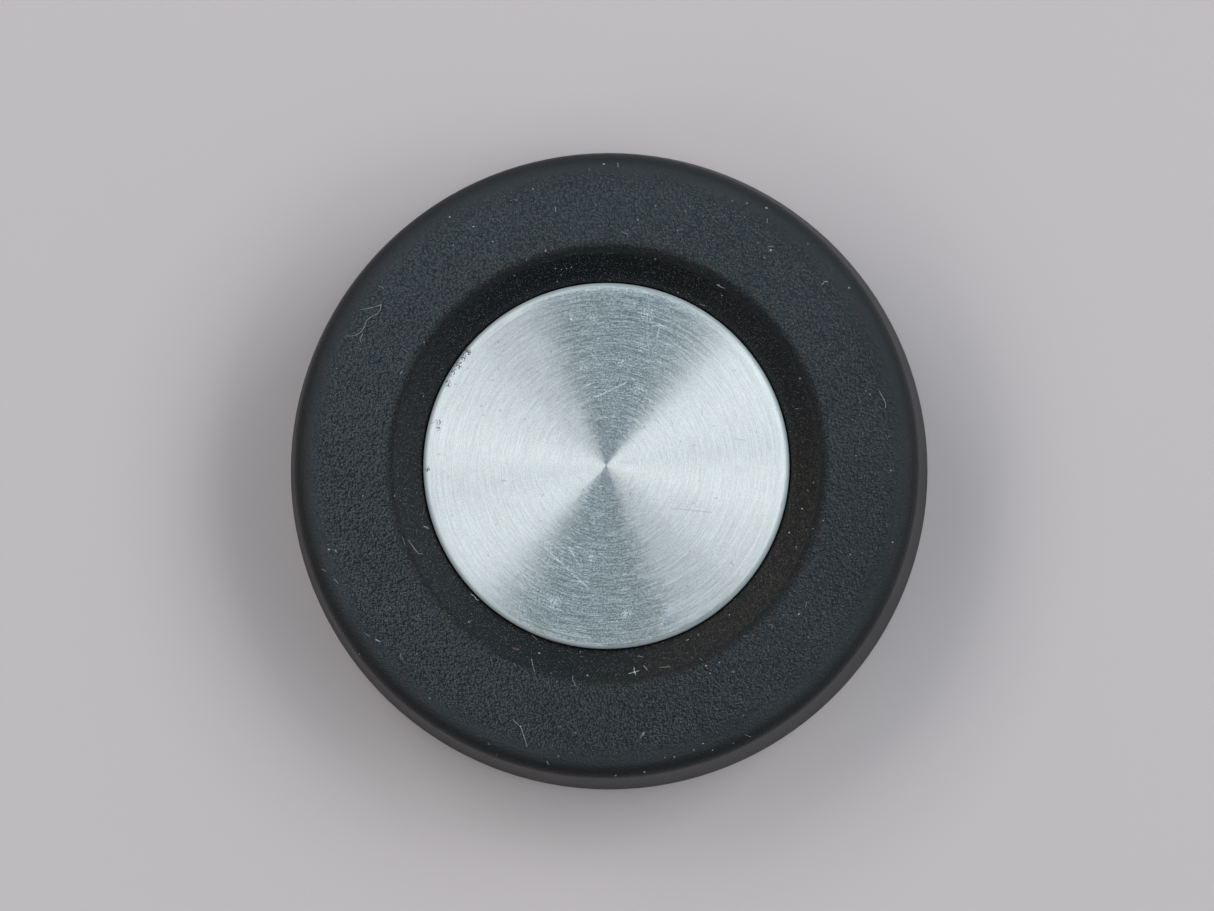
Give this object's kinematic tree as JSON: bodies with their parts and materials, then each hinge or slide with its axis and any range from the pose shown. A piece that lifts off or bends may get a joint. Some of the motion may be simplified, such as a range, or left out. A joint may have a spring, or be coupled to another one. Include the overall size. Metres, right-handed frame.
{
  "type": "control knob",
  "caption": "Round push-on control knob: black moulded body with a drafted wall and a dished top, a spun aluminium disc set in the dish, and a slotted boss with a spring ring underneath.",
  "frame": {"origin": "on the knob's axis, in the plane of the base rim", "axes": "+Z along the shaft axis towards the dished top; +X across the slot of the boss"},
  "size_m": [0.0414, 0.0414, 0.0105],
  "materials": {
    "black_plastic": "black moulding, fine leather grain on the flat ring, smooth semi-gloss dish and wall",
    "spun_aluminium": "turned face with fine concentric tool marks, light handling scratches",
    "spring_steel": "tempered strip, plain"
  },
  "bodies": {
    "root": {"knob_body": "black_plastic", "inlay_disc": "spun_aluminium", "boss_spring": "spring_steel"}
  },
  "joints": []
}
